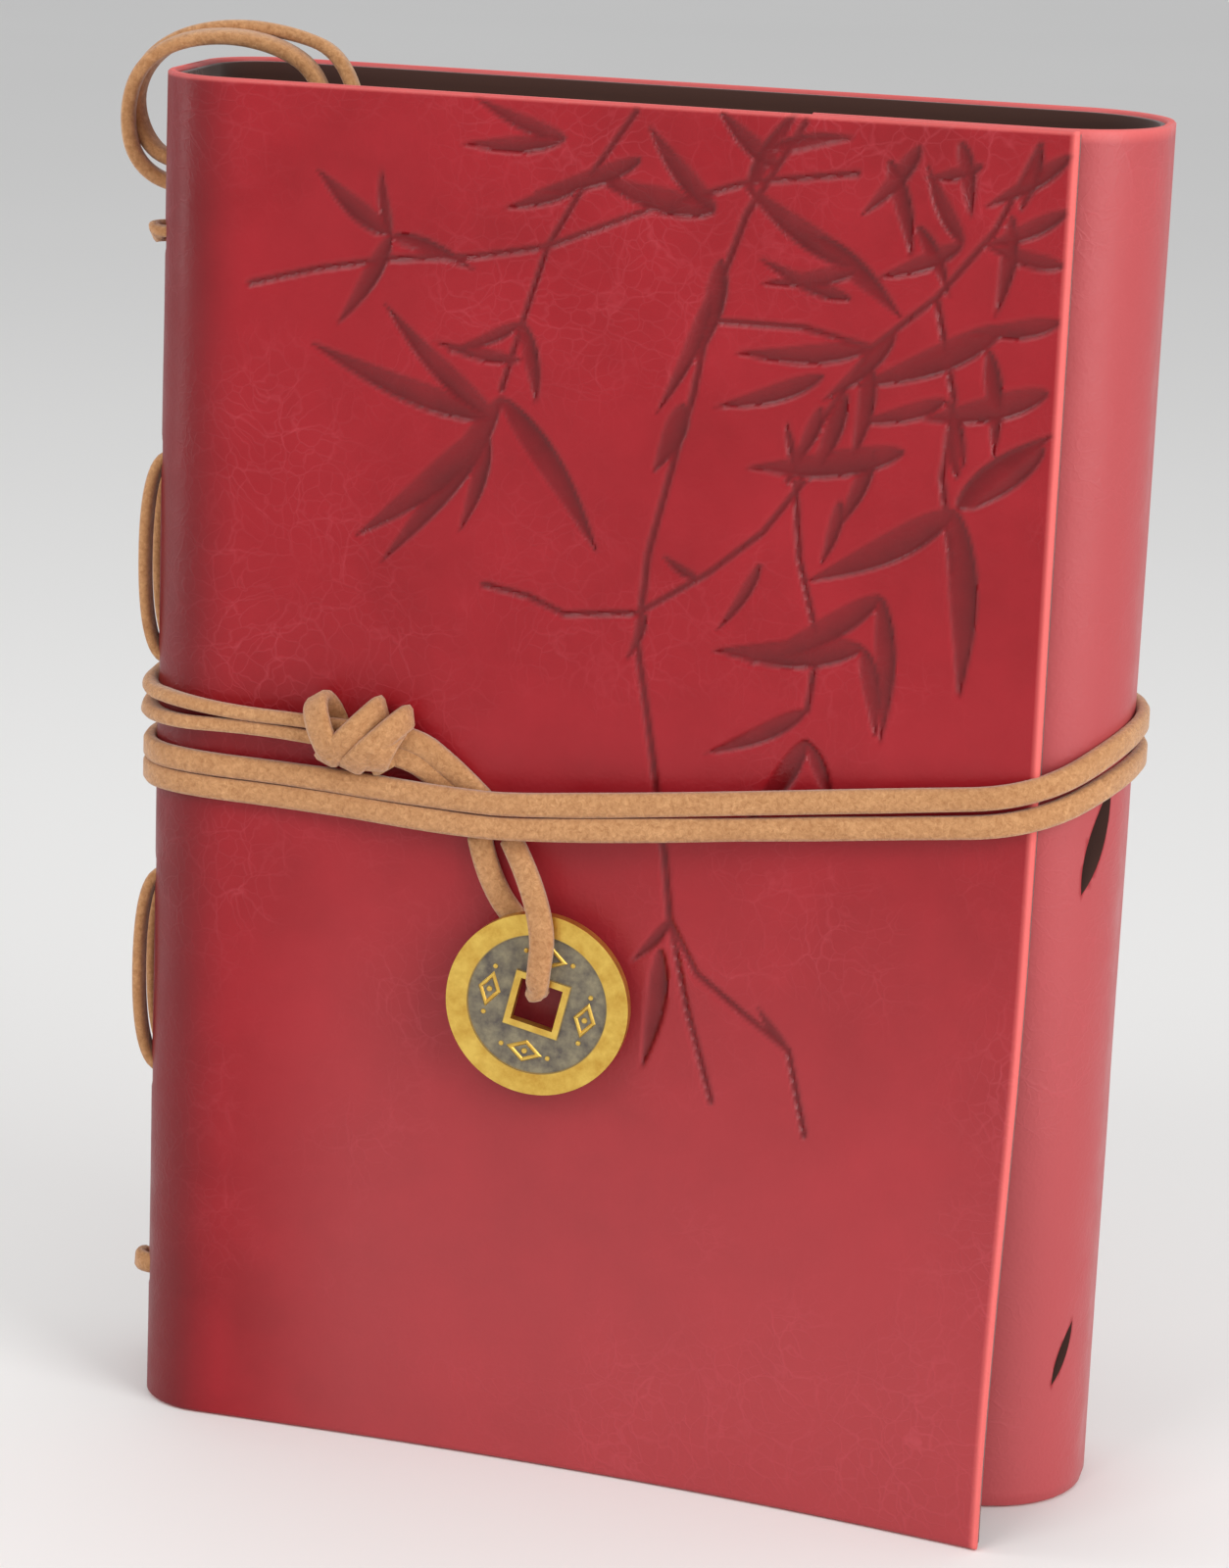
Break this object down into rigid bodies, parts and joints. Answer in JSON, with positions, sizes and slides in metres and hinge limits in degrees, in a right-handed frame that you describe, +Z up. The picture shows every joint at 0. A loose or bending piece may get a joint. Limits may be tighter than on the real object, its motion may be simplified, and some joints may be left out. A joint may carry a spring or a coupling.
{
  "type": "wrap journal",
  "caption": "Pocket notebook in a soft wrap cover that folds round the pages and tucks under itself, laced at the spine and tied shut with a flat cord and a coin pendant.",
  "frame": {"origin": "bottom centre of the closed book and its spine stitches, on the surface it stands on", "axes": "+Z up the spine, +Y from the front cover to the back cover, +X from the spine to the fore-edge"},
  "size_m": [0.1445, 0.0446, 0.193],
  "materials": {
    "cover_leather": "semi-gloss, lightly wrinkled",
    "lining": "matt suede",
    "pages": "matt uncoated",
    "suede_cord": "matt suede",
    "coin_brass": "worn, darkened in the recesses"
  },
  "bodies": {
    "book": {"spine_and_back_cover": "cover_leather", "spine_and_back_lining": "lining", "signature_3": "pages", "signature_4": "pages", "spine_lace_1": "suede_cord", "spine_lace_2": "suede_cord", "bookmark_cord_1": "suede_cord", "bookmark_cord_2": "suede_cord"},
    "front_cover": {"front_cover": "cover_leather", "front_lining": "lining"},
    "flap": {"fore_edge_flap": "cover_leather", "flap_lining": "lining"},
    "first_signature": {"signature_1": "pages"},
    "second_signature": {"signature_2": "pages"},
    "closure": {"closure_cord_upper": "suede_cord", "closure_cord_lower": "suede_cord", "closure_knot": "suede_cord"},
    "pendant": {"pendant_cord": "suede_cord", "coin": "coin_brass"}
  },
  "joints": [
    {"name": "front_cover_hinge", "type": "hinge", "parent": "book", "child": "front_cover", "pos_m": [-0.05455, -0.017, 0.0925], "axis": [0, 0, -1], "range_deg": [0, 165]},
    {"name": "flap_hinge", "type": "hinge", "parent": "book", "child": "flap", "pos_m": [0.05345, 0.017, 0.0925], "axis": [0, 0, 1], "range_deg": [0, 120]},
    {"name": "first_signature_turn", "type": "hinge", "parent": "book", "child": "first_signature", "pos_m": [-0.05863, -0.00946, 0.0925], "axis": [0, 0, -1], "range_deg": [0, 6]},
    {"name": "second_signature_turn", "type": "hinge", "parent": "book", "child": "second_signature", "pos_m": [-0.05931, -0.00339, 0.0925], "axis": [0, 0, -1], "range_deg": [0, 3]},
    {"name": "closure_unwrap", "type": "slide", "parent": "book", "child": "closure", "axis": [0, -1, 0], "range_m": [0, 0.29], "deforming": ["closure_cord_upper", "closure_cord_lower"]},
    {"name": "pendant_swing", "type": "hinge", "parent": "closure", "child": "pendant", "pos_m": [-0.01375, -0.021, 0.0874], "axis": [0, 1, 0], "range_deg": [-15, 30]}
  ],
  "couplings": [
    {"joint": "flap_hinge", "follows": "front_cover_hinge", "ratio": 0.72},
    {"joint": "first_signature_turn", "follows": "front_cover_hinge", "ratio": 0.036},
    {"joint": "second_signature_turn", "follows": "front_cover_hinge", "ratio": 0.018},
    {"joint": "closure_unwrap", "follows": "front_cover_hinge", "m_per_rad": 0.1}
  ]
}
